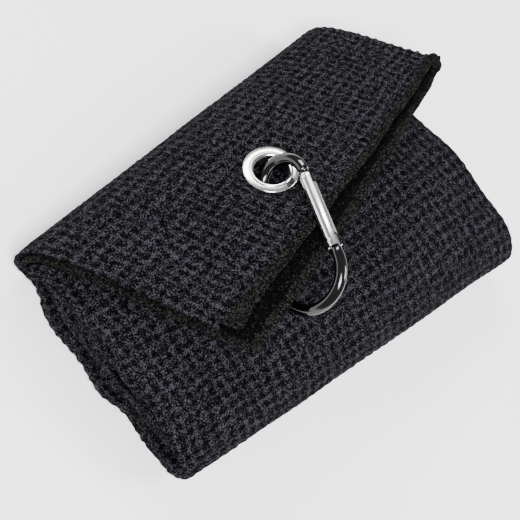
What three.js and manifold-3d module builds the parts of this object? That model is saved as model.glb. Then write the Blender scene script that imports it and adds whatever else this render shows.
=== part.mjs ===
// A microfibre golf towel: a waffle-weave cloth folded in three along its length, rolled flat into a
// bundle, with its grommet end laid over the top as a flap and a snap hook through the grommet.
// Units are millimetres. +X runs along the roll, +Y towards the back fold and +Z up.
import * as THREE from "three";
import { mergeVertices } from "three/addons/utils/BufferGeometryUtils.js";
import Module from "manifold-3d";

const wasm = await Module();
wasm.setup();

// Cloth
const CLOTH = 1.05; // thickness of one layer
const LAYER_PITCH = 1.3; // from one layer of the strip to the next
const STRIP = 2 * LAYER_PITCH + CLOTH; // the three layers together
const TURN_PITCH = STRIP + 0.45; // from one turn of the roll to the next
const HEM_WIDTH = 2.7;
const FIT = 0.3; // gap between touching pieces
const HEM_GAP = 0.45; // between the cloth and its edging

// Roll: its ends, its two long folds and its height
const ROLL_LEFT = -62;
const ROLL_LENGTH = 126;
const END_LEAN = [3, 17]; // how far the front of the left and right ends stands to the right
const HALF_DEPTH = [39.5, 47.8]; // from the middle to a fold, at the left and right ends
const MIDDLE_Y = [-0.5, 1.4];
const CREST_LOW = 19;
const CREST_RISE = 12.4;
const FOLD_HEIGHT = 0.4; // the folds' widest point, as a share of the crest
const ROLL_START = 0.0004; // turns from the fold line to the end of the rolled cloth
const TURNS = 3.15;
const PER_TURN = 24; // facets in a turn
const ROLL_FACETS = 8; // facets along the roll
const SIDE_POWER = 0.85; // shape of the lens section
const TOP_POWER = 1.15;
const BASE_POWER = 0.5;
const BASE_FLAT = 1.15; // above 1, the underside rests flat for part of its depth

// Flap: its back edge is on the roll's back fold, and these are the front corners of its top
const FLAP_BACK = [0.012, 0.985]; // its ends along the back fold, as shares of the roll
const FLAP_FRONT_LEFT = [-36.8, -10.6, 35.5];
const FLAP_FRONT_RIGHT = [79.5, 19.6, 36];
const BACK_ROUND = [0, 1, 12]; // how the cloth sets off round the back fold
const BACK_LEFT_ROUND = [-1.5, 1.6, 3.5]; // and how much fuller it is at the left end
const FLAP_CROWN = 9; // how far the middle of its end stands above its corners
const FLAP_WIDTH = 127;
const BOTTOM_IN = 0.7; // the bottom layer's cloth stops this far inside the left fold
const MIDDLE_SHORT = 6; // the middle layer stops this far from the right fold
const MIDDLE_END = [0.035, -0.11]; // how far past the top layer's end each one goes, left and right
const BOTTOM_END = [0.15, 0.03];
const FLAP_LENGTH = 58; // along its middle
const ACROSS = 12; // facets across the flap
const FLAP_FACETS = 10; // and along it
const FOLD_STEPS = 6;

// Eyelet
const EYELET_AT = [0.435, 0.645]; // across and along the flap
const EYELET_OUTER = 16.4;
const EYELET_BORE = 9.8;
const EYELET_WALL = 0.5;
const FLANGE_HEIGHT = 0.9;
const GRIPPED = 1.5; // the cloth is pressed this thin between flange and washer

// Snap hook, drawn in its own plane: p along it from the hinge end, q from the spine to the gate
const WIRE = 3.5;
const HINGE_BEND = 7.6; // centreline radii of its two ends
const NOSE_BEND = 10.5;
const HOOK_LENGTH = 45.5; // between the centrelines of the ends
const HOOK_THROUGH = [2.4, 3.8]; // p and q of the point in the middle of the eyelet
const HOOK_ALONG = new THREE.Vector3(-0.49, -0.87, 0.03);
const HOOK_ACROSS = new THREE.Vector3(0.355, -0.235, 0.9);
const GATE_DIAMETER = 4.1;
const GATE_BORE = 2.6;
const GATE_LENGTH = 25;
const RIVET_AT = 2.2; // along the gate line
const RIVET_DIAMETER = 1.3;
const TANG = 1.4; // thickness of the body's tongues inside the gate's slots
const SLOT = 2.0;
const PIN_AT = 22.9;
const PIN_DIAMETER = 1.0;
const SPRING_FROM = 6.2;
const SPRING_TO = 15;
const SPRING_WIRE = 0.35;
const SPRING_COILS = 7;

const finish = {
  cloth: [0x2b2a31, 0.95, 0],
  thread: [0x1f1f22, 0.9, 0],
  nickel: [0xc9cac8, 0.22, 1],
  blackPaint: [0x0c0c0e, 0.15, 0.6],
  brightSteel: [0xd5d6d8, 0.2, 1],
  springSteel: [0x8d8f92, 0.35, 1],
};

const part = new THREE.Group();

function node(name, geometry, look) {
  const [color, roughness, metalness] = finish[look];
  const mesh = new THREE.Mesh(geometry, new THREE.MeshStandardMaterial({ color, roughness, metalness }));
  mesh.name = name;
  return mesh;
}

// Booleans

function toSolid(geometry) {
  const bare = geometry.clone();
  bare.deleteAttribute("normal");
  bare.deleteAttribute("uv");
  const merged = mergeVertices(bare, 1e-4);
  return new wasm.Manifold(
    new wasm.Mesh({
      numProp: 3,
      vertProperties: merged.attributes.position.array,
      triVerts: new Uint32Array(merged.index.array),
    }),
  );
}

function toGeometry(solid) {
  const { vertProperties, triVerts } = solid.getMesh();
  const geometry = new THREE.BufferGeometry();
  geometry.setAttribute("position", new THREE.BufferAttribute(vertProperties, 3));
  geometry.setIndex(new THREE.BufferAttribute(triVerts, 1));
  geometry.computeVertexNormals();
  return geometry;
}

function cut(geometry, ...tools) {
  return toGeometry(tools.reduce((body, tool) => body.subtract(toSolid(tool)), toSolid(geometry)));
}

function join(...geometries) {
  return toGeometry(geometries.map(toSolid).reduce((body, next) => body.add(next)));
}

// Moves every point of a geometry by a rule
function reshape(geometry, rule) {
  const at = geometry.attributes.position;
  for (let i = 0; i < at.count; i++) {
    const p = rule(at.getX(i), at.getY(i), at.getZ(i));
    at.setXYZ(i, p.x, p.y, p.z);
  }
  geometry.computeVertexNormals();
  return geometry;
}

// A block cut into facets, each point of which is moved to its place by a rule of u, v and w from 0 to 1
function slab(facetsU, facetsW, rule) {
  const block = new THREE.BoxGeometry(1, 1, 1, facetsU, 1, facetsW).translate(0.5, 0.5, 0.5);
  return reshape(block, rule);
}

// Roll

const mix = THREE.MathUtils.lerp;
const power = (value, exponent) => Math.sign(value) * Math.abs(value) ** exponent;

function crestAt(share) {
  return CREST_LOW + CREST_RISE * Math.sin(Math.PI * (0.03 + 0.8 * share)) ** 0.8;
}

// A point of the roll: share of its length from the left, angle up from the back fold, depth inside
function rollPoint(share, angle, depth) {
  const cos = Math.cos(angle);
  const sin = Math.sin(angle);
  const side = power(cos, SIDE_POWER);
  const crest = crestAt(share);
  const fold = FOLD_HEIGHT * crest;
  const z =
    sin >= 0
      ? fold + (crest - fold - depth) * sin ** TOP_POWER
      : fold - (fold - depth) * Math.min(1, BASE_FLAT * Math.abs(sin) ** BASE_POWER);
  return new THREE.Vector3(
    ROLL_LEFT + ROLL_LENGTH * share + ((1 - side) / 2) * mix(...END_LEAN, share),
    mix(...MIDDLE_Y, share) + (mix(...HALF_DEPTH, share) - depth) * side,
    z,
  );
}

// How deep in the roll the strip lies: it steps in over the top of each turn, so the underside is flat
function turnDepth(turn) {
  const whole = Math.floor(turn);
  return TURN_PITCH * (whole + Math.max(0, 2 * (turn - whole) - 1));
}

// The rolled strip: a spiral band from the back fold inwards, going under the roll first
function roll() {
  return slab(Math.round(TURNS * PER_TURN), ROLL_FACETS, (u, v, w) => {
    const turn = mix(ROLL_START, TURNS, u);
    return rollPoint(w, -2 * Math.PI * turn, turnDepth(turn) + (1 - v) * STRIP);
  });
}

part.add(node("towel_roll", roll(), "cloth"));

// Flap

const corner = (c) => new THREE.Vector3(...c);

// A point on the flap's top surface, across it from the left and along it from the back fold
function flapTop(across, along) {
  const back = rollPoint(mix(...FLAP_BACK, across), 0, 0);
  const front = corner(FLAP_FRONT_LEFT).lerp(corner(FLAP_FRONT_RIGHT), across);
  front.z += FLAP_CROWN * Math.sin(Math.PI * THREE.MathUtils.clamp(across, 0, 1));
  const reach = front.clone().sub(back);
  const round = back.clone().add(corner(BACK_ROUND)).addScaledVector(corner(BACK_LEFT_ROUND), 1 - across);
  const rise = front.clone().addScaledVector(reach, -0.45);
  rise.z += 0.07 * reach.z;
  const curve = new THREE.CubicBezierCurve3(back, round, rise, front);
  curve.arcLengthDivisions = 60;
  const past = Math.max(0, along - 1) * curve.getLength();
  const inside = THREE.MathUtils.clamp(along, 0, 1);
  return curve.getPointAt(inside).addScaledVector(curve.getTangentAt(inside), past);
}

function flapNormal(across, along) {
  const step = 0.004;
  const sideways = flapTop(across + step, along).sub(flapTop(across - step, along));
  const onwards = flapTop(across, along + step).sub(flapTop(across, along - step));
  return onwards.cross(sideways).normalize();
}

// A point of the flap: millimetres across, share along and depth below the top surface
function flapPoint(x, along, depth) {
  const across = x / FLAP_WIDTH;
  return flapTop(across, along).addScaledVector(flapNormal(across, along), -depth);
}

// The strip's section as stations along the cloth, each with a point on its outer and inner side:
// the bottom layer from its free edge, the right fold, the top layer, the left fold, the middle layer
function stripStations() {
  const stations = [];
  const straight = (from, to, outer, inner) => {
    for (let i = 0; i <= ACROSS; i++) {
      const x = mix(from, to, i / ACROSS);
      stations.push([x, inner, x, outer]);
    }
  };
  const fold = (x, outer, inner, side) => {
    const middle = (outer[0] + outer[1]) / 2;
    const big = (outer[0] - outer[1]) / 2;
    const small = (inner[0] - inner[1]) / 2;
    for (let i = 1; i < FOLD_STEPS; i++) {
      const angle = (Math.PI * i) / FOLD_STEPS;
      const out = side * Math.sin(angle);
      const down = Math.cos(angle);
      stations.push([
        x + out * Math.abs(small),
        middle + down * small,
        x + out * Math.abs(big),
        middle + down * big,
      ]);
    }
  };
  const second = LAYER_PITCH;
  const third = 2 * LAYER_PITCH;
  straight(BOTTOM_IN, FLAP_WIDTH, third + CLOTH, third);
  fold(FLAP_WIDTH, [third + CLOTH, 0], [third, CLOTH], 1);
  straight(FLAP_WIDTH, 0, 0, CLOTH);
  fold(0, [0, second + CLOTH], [CLOTH, second], -1);
  straight(0, FLAP_WIDTH - MIDDLE_SHORT, second + CLOTH, second);
  return stations;
}

// How far along the flap the layer at a depth ends, hem included, as a share of the top layer.
// Round the right fold the end runs straight from the top layer's to the bottom one's
function endShare(x, depth) {
  const across = x / FLAP_WIDTH;
  const whole = Math.floor(depth / LAYER_PITCH + 1e-6);
  const between = Math.max(0, (depth - whole * LAYER_PITCH - CLOTH) / (LAYER_PITCH - CLOTH));
  const layer = Math.min(2, whole + between);
  const bottom = mix(...BOTTOM_END, across);
  const middle = x > FLAP_WIDTH ? bottom / 2 : mix(...MIDDLE_END, across);
  return 1 + (layer < 1 ? layer * middle : mix(middle, bottom, layer - 1));
}

// A point between two distances short of the layers' ends; from = null is the back fold
function alongFlap(x, depth, from, to, share) {
  const end = endShare(x, depth);
  const start = from === null ? 0 : end - from / FLAP_LENGTH;
  return flapPoint(x, mix(start, end - to / FLAP_LENGTH, share), depth);
}

function flapCloth() {
  const stations = stripStations();
  const last = stations.length - 1;
  return slab(last, FLAP_FACETS, (u, v, w) => {
    const station = stations[Math.round(u * last)];
    const side = v > 0.5 ? 0 : 2;
    return alongFlap(station[side], station[side + 1], null, HEM_WIDTH + HEM_GAP, w);
  });
}

// Overlocked edging, one layer thick
function hem(left, right, depth, from, facetsU, facetsW) {
  return slab(facetsU, facetsW, (u, v, w) =>
    alongFlap(mix(left, right, u), depth + (1 - v) * CLOTH, from, 0, w),
  );
}

// The eyelet's own frame: its axis is the flap's normal at its middle
const eyeletTop = flapTop(...EYELET_AT);
const eyeletAxis = flapNormal(...EYELET_AT);
const flangeUnder = -(STRIP - GRIPPED) / 2;

function placeOnEyelet(mesh) {
  mesh.quaternion.setFromUnitVectors(new THREE.Vector3(0, 1, 0), eyeletAxis);
  mesh.position.copy(eyeletTop);
  return mesh;
}

function ring(profile) {
  return new THREE.LatheGeometry(profile.map(([r, y]) => new THREE.Vector2(r, y)), 40);
}

// What the metal takes out of the cloth: a bore and two shallow seats
function eyeletRoom() {
  const tube = EYELET_BORE / 2 + EYELET_WALL + FIT;
  const seat = EYELET_OUTER / 2 + FIT;
  const low = flangeUnder - GRIPPED;
  const room = ring([
    [0, low - 4],
    [seat, low - 4],
    [seat, low],
    [tube, low],
    [tube, flangeUnder],
    [seat, flangeUnder],
    [seat, flangeUnder + 5],
    [0, flangeUnder + 5],
  ]);
  const mesh = placeOnEyelet(new THREE.Mesh(room));
  mesh.updateMatrix();
  return room.applyMatrix4(mesh.matrix);
}

function flap() {
  const group = new THREE.Group();
  group.add(node("flap_cloth", cut(flapCloth(), eyeletRoom()), "cloth"));
  const layers = [
    ["top_end_hem", 0, FLAP_WIDTH, 0],
    ["middle_end_hem", 0.6, FLAP_WIDTH - MIDDLE_SHORT, LAYER_PITCH],
    ["bottom_end_hem", BOTTOM_IN, FLAP_WIDTH, 2 * LAYER_PITCH],
  ];
  for (const [name, left, right, depth] of layers) {
    group.add(node(name, hem(left, right, depth, HEM_WIDTH, ACROSS, 1), "thread"));
  }
  const edge = BOTTOM_IN - HEM_GAP;
  const side = hem(edge - HEM_WIDTH, edge, 2 * LAYER_PITCH, null, 1, FLAP_FACETS);
  group.add(node("side_hem", side, "thread"));
  return group;
}

part.add(flap());

// Eyelet: flange and barrel in one, and the washer that it is closed over

function eyelet() {
  const group = new THREE.Group();
  const bore = EYELET_BORE / 2;
  const outer = EYELET_OUTER / 2;
  const top = flangeUnder + FLANGE_HEIGHT;
  const washerTop = flangeUnder - GRIPPED;
  const lip = washerTop - FLANGE_HEIGHT - FIT;
  const flange = ring([
    [bore, lip + 0.6],
    [bore + 0.35, lip],
    [bore + EYELET_WALL, lip],
    [bore + EYELET_WALL, flangeUnder + FIT],
    [outer, flangeUnder + FIT],
    [outer, flangeUnder + FIT + 0.2],
    [outer - 1.2, top],
    [bore + 1, top],
    [bore + 0.3, top - 0.25],
    [bore, top - 0.7],
    [bore, lip + 0.6],
  ]);
  const washerBore = bore + EYELET_WALL + FIT / 2;
  const washer = ring([
    [washerBore, washerTop - FLANGE_HEIGHT],
    [outer - 1, washerTop - FLANGE_HEIGHT],
    [outer, washerTop - FIT - 0.2],
    [outer, washerTop - FIT],
    [washerBore, washerTop - FIT],
    [washerBore, washerTop - FLANGE_HEIGHT],
  ]);
  group.add(placeOnEyelet(node("eyelet_flange", flange, "nickel")));
  group.add(placeOnEyelet(node("eyelet_washer", washer, "nickel")));
  return group;
}

part.add(eyelet());

// Snap hook, built in its own plane and then laid through the eyelet

const lean = Math.asin((2 * (NOSE_BEND - HINGE_BEND)) / (HOOK_LENGTH - HINGE_BEND - NOSE_BEND));
const gateStart = new THREE.Vector2(
  HINGE_BEND - HINGE_BEND * Math.sin(lean),
  HINGE_BEND + HINGE_BEND * Math.cos(lean),
);
const gateAlong = new THREE.Vector2(Math.cos(lean), Math.sin(lean));
const gateOut = new THREE.Vector2(-Math.sin(lean), Math.cos(lean));

// A point on the gate line, so far along it and so far out from it
function onGate(along, out = 0) {
  return gateStart.clone().addScaledVector(gateAlong, along).addScaledVector(gateOut, out);
}

function rod(from, to, diameter, sides) {
  const length = from.distanceTo(to);
  const geometry = new THREE.CylinderGeometry(diameter / 2, diameter / 2, length, sides);
  const turn = new THREE.Quaternion().setFromUnitVectors(
    new THREE.Vector3(0, 1, 0),
    to.clone().sub(from).normalize(),
  );
  const middle = from.clone().add(to).multiplyScalar(0.5);
  return geometry.applyQuaternion(turn).translate(middle.x, middle.y, middle.z);
}

const flat = (v, height = 0) => new THREE.Vector3(v.x, v.y, height);

// A plate along the gate line, in the hook's plane
function plate(corners, thickness) {
  const shape = new THREE.Shape(corners.map(([along, out]) => onGate(along, out)));
  const geometry = new THREE.ExtrudeGeometry(shape, { depth: thickness, bevelEnabled: false });
  return geometry.translate(0, 0, -thickness / 2);
}

function hookBody() {
  const noseMiddle = HOOK_LENGTH - NOSE_BEND;
  const outline = new THREE.Path();
  const shoulder = onGate(RIVET_AT - GATE_DIAMETER / 2 - FIT);
  const nose = onGate(GATE_LENGTH + FIT);
  outline.moveTo(shoulder.x, shoulder.y);
  outline.absarc(HINGE_BEND, HINGE_BEND, HINGE_BEND, Math.PI / 2 + lean, 1.5 * Math.PI, false);
  outline.lineTo(noseMiddle, 0);
  outline.absarc(noseMiddle, NOSE_BEND, NOSE_BEND, -Math.PI / 2, Math.PI / 2 + lean, false);
  outline.lineTo(nose.x, nose.y);
  const route = outline.getSpacedPoints(64).map((p) => flat(p));
  const section = new THREE.Shape().absarc(0, 0, WIRE / 2, 0, 2 * Math.PI);
  const wire = new THREE.ExtrudeGeometry(section, {
    steps: 64,
    curveSegments: 8,
    bevelEnabled: false,
    extrudePath: new THREE.CatmullRomCurve3(route),
  });
  const half = 1.3;
  const tang = plate(
    [
      [-1.5, -half],
      [RIVET_AT + 1.4, -half],
      [RIVET_AT + 1.4, half],
      [-1.5, half],
    ],
    TANG,
  );
  const catchHook = plate(
    [
      [GATE_LENGTH + 1.5, -0.9],
      [GATE_LENGTH + 1.5, 1.5],
      [PIN_AT - 0.9, 1.5],
      [PIN_AT - 0.9, 0.85],
      [PIN_AT + 1, 0.85],
      [PIN_AT + 1, -0.9],
    ],
    TANG,
  );
  const rivet = flat(onGate(RIVET_AT));
  const hole = rod(rivet.clone().setZ(-3), rivet.clone().setZ(3), RIVET_DIAMETER + 2 * FIT, 16);
  return cut(join(wire, tang, catchHook), hole);
}

function gateSleeve() {
  const start = flat(onGate(RIVET_AT));
  const end = flat(onGate(GATE_LENGTH));
  const tube = rod(start, end, GATE_DIAMETER, 20);
  const round = new THREE.SphereGeometry(GATE_DIAMETER / 2, 20, 12).translate(start.x, start.y, 0);
  const bore = rod(start, flat(onGate(GATE_LENGTH + 1)), GATE_BORE, 16);
  const wide = GATE_DIAMETER;
  const hingeSlot = plate(
    [
      [-3, -wide],
      [RIVET_AT + 2.6, -wide],
      [RIVET_AT + 2.6, wide],
      [-3, wide],
    ],
    SLOT,
  );
  const noseSlot = plate(
    [
      [PIN_AT - 1.4, -wide],
      [GATE_LENGTH + 3, -wide],
      [GATE_LENGTH + 3, wide],
      [PIN_AT - 1.4, wide],
    ],
    SLOT,
  );
  const rivet = start;
  const hole = rod(rivet.clone().setZ(-3), rivet.clone().setZ(3), RIVET_DIAMETER + FIT, 16);
  const pin = flat(onGate(PIN_AT));
  const pinHole = rod(pin.clone().setZ(-3), pin.clone().setZ(3), PIN_DIAMETER + FIT, 12);
  return cut(join(tube, round), bore, hingeSlot, noseSlot, hole, pinHole);
}

function crossPin(along, diameter, length) {
  const middle = flat(onGate(along));
  return rod(middle.clone().setZ(-length / 2), middle.clone().setZ(length / 2), diameter, 14);
}

function gateSpring() {
  const radius = GATE_BORE / 2 - SPRING_WIRE / 2 - 0.12;
  class Coil extends THREE.Curve {
    getPoint(t) {
      const angle = 2 * Math.PI * SPRING_COILS * t;
      const middle = onGate(mix(SPRING_FROM, SPRING_TO, t), radius * Math.cos(angle));
      return flat(middle, radius * Math.sin(angle));
    }
  }
  const section = new THREE.Shape().absarc(0, 0, SPRING_WIRE / 2, 0, 2 * Math.PI);
  return new THREE.ExtrudeGeometry(section, {
    steps: SPRING_COILS * 10,
    curveSegments: 3,
    bevelEnabled: false,
    extrudePath: new Coil(),
  });
}

function springPlunger() {
  const from = RIVET_AT + 2.6;
  return rod(flat(onGate(from)), flat(onGate(SPRING_FROM - SPRING_WIRE - 0.1)), GATE_BORE - 0.3, 16);
}

function snapHook() {
  const group = new THREE.Group();
  group.add(node("hook_body", hookBody(), "blackPaint"));
  group.add(node("gate_sleeve", gateSleeve(), "brightSteel"));
  group.add(node("gate_rivet", crossPin(RIVET_AT, RIVET_DIAMETER, GATE_DIAMETER - 0.1), "brightSteel"));
  group.add(node("latch_pin", crossPin(PIN_AT, PIN_DIAMETER, GATE_DIAMETER - 0.3), "brightSteel"));
  group.add(node("gate_spring", gateSpring(), "springSteel"));
  group.add(node("spring_plunger", springPlunger(), "springSteel"));
  const along = HOOK_ALONG.clone().normalize();
  const across = HOOK_ACROSS.clone().addScaledVector(along, -HOOK_ACROSS.dot(along)).normalize();
  const side = along.clone().cross(across);
  const through = eyeletTop.clone().addScaledVector(eyeletAxis, -STRIP / 2);
  const basis = new THREE.Matrix4().makeBasis(along, across, side);
  group.quaternion.setFromRotationMatrix(basis);
  group.position
    .copy(through)
    .addScaledVector(along, -HOOK_THROUGH[0])
    .addScaledVector(across, -HOOK_THROUGH[1]);
  return group;
}

part.add(snapHook());

// The origin is under the middle of the whole part, on the surface that it rests on
const box = new THREE.Box3().setFromObject(part);
part.position.set(-(box.min.x + box.max.x) / 2, -(box.min.y + box.max.y) / 2, -box.min.z);

export default part;
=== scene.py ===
# A microfibre golf towel: a waffle-weave cloth folded in three along its length, rolled flat into a
# bundle, with its grommet end laid over the top as a flap and a snap hook through the grommet.
# Lengths are millimetres until a mesh is made; the rolled cloth's own frame is moved onto the CAD's.
import math

import bmesh
import bpy
import numpy as np
from mathutils import Matrix, Vector


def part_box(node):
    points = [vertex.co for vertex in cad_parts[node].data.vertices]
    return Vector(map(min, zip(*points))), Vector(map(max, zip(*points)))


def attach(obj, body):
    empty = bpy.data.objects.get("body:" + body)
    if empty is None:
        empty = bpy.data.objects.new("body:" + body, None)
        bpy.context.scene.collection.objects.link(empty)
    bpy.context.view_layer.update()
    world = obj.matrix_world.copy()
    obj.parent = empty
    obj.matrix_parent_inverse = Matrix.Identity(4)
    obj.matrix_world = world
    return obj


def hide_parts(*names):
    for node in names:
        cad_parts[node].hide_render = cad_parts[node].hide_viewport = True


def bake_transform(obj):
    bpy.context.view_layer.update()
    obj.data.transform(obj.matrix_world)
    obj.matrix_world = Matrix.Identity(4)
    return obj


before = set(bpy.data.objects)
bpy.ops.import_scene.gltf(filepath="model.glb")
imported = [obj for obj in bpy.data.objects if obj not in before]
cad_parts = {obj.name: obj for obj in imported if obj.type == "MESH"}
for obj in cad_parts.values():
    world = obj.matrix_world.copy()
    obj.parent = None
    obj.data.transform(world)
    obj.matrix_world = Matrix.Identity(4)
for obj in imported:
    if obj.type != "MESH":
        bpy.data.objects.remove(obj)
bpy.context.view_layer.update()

MM = 0.001

# Cloth
CLOTH = 1.05  # thickness of one layer
LAYER_PITCH = 1.3  # from one layer of the strip to the next
STRIP = 2 * LAYER_PITCH + CLOTH  # the three layers together
TURN_GAP = 0.45
TURN_PITCH = STRIP + TURN_GAP
HEM_WIDTH = 2.7
HEM_GAP = 0.45

# Overlocked edging
INTO_END_EDGING = 0.3  # how far the cloth runs into its edging at the ends
INTO_EDGING = 1.3  # and at its free side
EDGING = HEM_WIDTH - INTO_END_EDGING
STITCH = 1.3  # length of one stitch
STITCH_STEP = STITCH / 4
EDGING_AROUND = 14  # points round the edging
EDGING_HALF = 1.6
EDGING_SWING = LAYER_PITCH  # radius of its way round the right fold
EDGING_TURN = 0.86 * math.pi
END_EDGING_THICK = 0.58
SIDE_EDGING_THICK = 0.8
ROLL_EDGING_THICK = 0.7
ROLL_EDGING_IN = 2.6
STITCH_LEAN = 0.75
THREAD_LOW, THREAD_RISE, THREAD_POWER = 0.82, 0.2, 0.7  # how the height follows the stitches
HALF_LOW, HALF_RISE, HALF_LUMP = 0.94, 0.06, 0.4  # and the width
SECTION_ACROSS, SECTION_UP = 0.75, 0.8  # powers that square its section off
# The edging's tone rises with its stitches' height: painted shade between stitches, lighter tops
THREAD_TONE, STITCH_SHADE_CONTRAST = 0.35, 0.45
SWAY, SWAY_SEED, SWAY_PITCH = 0.3, 31, 4
LUMP, LUMP_SEED, LUMP_PITCH = 0.12, 32, 1.7
# Slow waves, each as its reach and its rate along the edging
STITCH_DRIFT = (0.15, 0.37)
STITCH_SWELL = (0.07, 0.61)
END_WAVES = ((0.25, 0.19), (0.15, 0.53))
SIDE_WAVES = ((0.3, 0.17), (0.12, 0.6))
SIDE_EDGING_OUT = 0.4
SIDE_EDGING_SHORT = 0.4
TOP_EDGING_IN, MIDDLE_EDGING_IN, BOTTOM_EDGING_OUT = 0.3, 0.8, 3.2  # their left ends
BOTTOM_EDGING_RIGHT = 0.6
TURN_WIDER, TURN_THICKER = 0.4, 0.25  # round the right fold the edging spreads over the cloth's end

# Waffle weave
CELL_ACROSS = 3.1
CELL_ALONG = 3.5
PIT_DEPTH = 0.5
RIDGE_SHARPNESS = 1.6
RIDGE_FLAT, RIDGE_CROSSING = 0.72, 0.28  # a ridge's own height and what a crossing adds
PIT_DIP = 0.5
WEAVE_TOP = 1.25
RIDGE_LEVEL = 0.75  # the weave's height that lies in the cloth's own face
RIPPLE_WAVES, RIPPLE_PITCHES, RIPPLE_LEVEL = 6, (0.6, 1.8), 2.6
# Irregularity, each as its reach, seed and pitch
STRAY_ACROSS = ((0.45, 3, 26), (0.22, 5, 7))
STRAY_ALONG = ((0.5, 4, 30), (0.25, 6, 8))
UNEVEN = ((0.13, 8, 3.1), (0.09, 9, 1.9))
FINE = 0.52  # grid step where the weave shows
COARSE = 2.6
FOLD_STEPS = 8
MIDDLE_FINE = 4  # the middle layer is fine this far from the left fold
INNER_FACE = 0.7  # the weave's value on the roll's inner faces
PAINTED_FOLD_SHADE = -0.2  # and on the flap's: painted shade, dark as the shadow between its layers

# Roll
ROLL_LEFT = -62
ROLL_LENGTH = 126
END_LEAN = (3, 17)
HALF_DEPTH = (39.5, 47.8)
MIDDLE_Y = (-0.5, 1.4)
CREST_LOW = 19
CREST_RISE = 12.4
CREST_FROM, CREST_SPAN, CREST_POWER = 0.03, 0.8, 0.8  # the part of a sine arch that the crest follows
FOLD_HEIGHT = 0.4
TURNS = 3.15
SIDE_POWER = 0.85
TOP_POWER = 1.15
BASE_POWER = 0.5
BASE_FLAT = 1.15
SPIRAL_SAMPLES = 6000
OUTER_TURN = 1.04  # the weave is fine this far round
INNER_STEP = 1.6
BOTTOM_SEEN = 9  # how much of the bottom layer shows at the roll's left end
END_REACH = 12  # how far in from an end its turns stray
LEFT_STRAY, RIGHT_STRAY = 1.3, 0.9
STRAY_SEED, STRAY_PITCH, STRAY_TURN = 21, 34, 31
FLUTTER = 0.5
FLUTTER_SEED, FLUTTER_PITCH, FLUTTER_LAYER = 22, 17, 4
TUCK = 1.1  # each turn's ends lie this far inside the ends of the turn round it
DENT = 0.25
DENT_SEED, DENT_PITCH = 23, 40
LOWEST = 0.02

# Flap
FLAP_BACK = (0.0, 1.0)
FLAP_FRONT_LEFT = (-36.8, -10.6, 35.5)
FLAP_FRONT_RIGHT = (79.5, 19.6, 36)
BACK_ROUND = (0, 1, 12)
BACK_LEFT_ROUND = (-1.5, 1.6, 3.5)
FLAP_CROWN = 9
FRONT_LEVEL = 0.45  # share of the flap's reach over which it runs on towards its end
FRONT_DIP = 0.07
BEND_SAMPLES = 41
NUDGE = 1e-4
NORMAL_STEP = 0.004
END_FLAT = 2.0  # the weave flattens this close to the flap's end
END_RELIEF = 0.25
SETTLE = 0.22
SETTLE_FROM = 8
FLAP_WIDTH = 127
BOTTOM_IN = 0.7
MIDDLE_SHORT = 6
MIDDLE_END = (0.035, -0.11)
BOTTOM_END = (0.15, 0.03)
FLAP_LENGTH = 58
FOLD_SLACK = 0.95  # how far the right fold opens at the flap's end
FOLD_ROUND = 1.1
SLACK_ACROSS = (0.5, 0.45)  # where the slack starts and over what share it grows
SLACK_ALONG = (0.35, 0.6)
SLACK_POWER = 1.5

# Eyelet
EYELET_AT = (0.435, 0.645)
EYELET_OUTER = 16.4
EYELET_BORE = 9.8
EYELET_WALL = 0.5
FLANGE_HEIGHT = 0.9
GRIPPED = 1.5  # thickness of the cloth between the eyelet's halves
GRIP_SHARE = 0.94
GRIP_EASE = (0.3, 3.2)  # outside the eyelet: where the cloth starts to rise again, and over how far
BORE_CLEAR = 0.9  # between the eyelet's neck and the cloth's hole
FIT = 0.3
FLANGE_ROLL = 0.95  # radius that the flange rolls into its bore with
RIM_ROUND = 0.42  # radius of the flange's rim
SKIN = 0.1  # the flange and the washer stop this short of the cloth
EYELET_SIDES = 96

# Snap hook
WIRE = 3.5
HINGE_BEND = 7.6
NOSE_BEND = 10.5
HOOK_LENGTH = 45.5
HOOK_THROUGH = (2.4, 3.8)
HOOK_ALONG = (-0.49, -0.87, 0.03)
HOOK_ACROSS = (0.355, -0.235, 0.9)
GATE_DIAMETER = 4.1
GATE_LENGTH = 25
RIVET_AT = 2.2
WIRE_ROUNDING = 0.45  # of the wire's two ends
ROUNDED_END = ((0, 0.62), (0.4, 0.88), (1, 1.0))  # shares of the rounding and of the radius
WIRE_SIDES = 32
HINGE_POINTS, SPINE_POINTS, NOSE_POINTS = 40, 12, 52  # along the wire
TANG = 1.4
TANG_BACK, TANG_PAST, TANG_HALF = 1.5, 1.4, 1.3  # into the wire, past the rivet, and half its height
PIN_AT = 22.9
CATCH_IN = 1.5  # into the wire
CATCH_LOW, CATCH_HIGH = -0.9, 1.5
HOOKED_FROM, HOOKED_TO, HOOKED_LEVEL = -0.9, 1, 0.85  # the catch's hooked tip, from the pin
PLATE_EDGE = 0.15
TUBE_EDGE = 0.08

# The rolled cloth's frame in the CAD's: the roll's left end and its back fold give the shift
low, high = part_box("towel_roll")
ORIGIN = np.array([
    low[0] / MM - ROLL_LEFT,
    high[1] / MM - MIDDLE_Y[1] - HALF_DEPTH[1],
    0.0,
])


# Shapes


def mix(pair, share):
    return pair[0] + (pair[1] - pair[0]) * share


def power(value, exponent):
    return np.sign(value) * np.abs(value) ** exponent


def crest_at(share):
    arch = np.sin(math.pi * (CREST_FROM + CREST_SPAN * np.clip(share, 0, 1)))
    return CREST_LOW + CREST_RISE * arch**CREST_POWER


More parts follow.
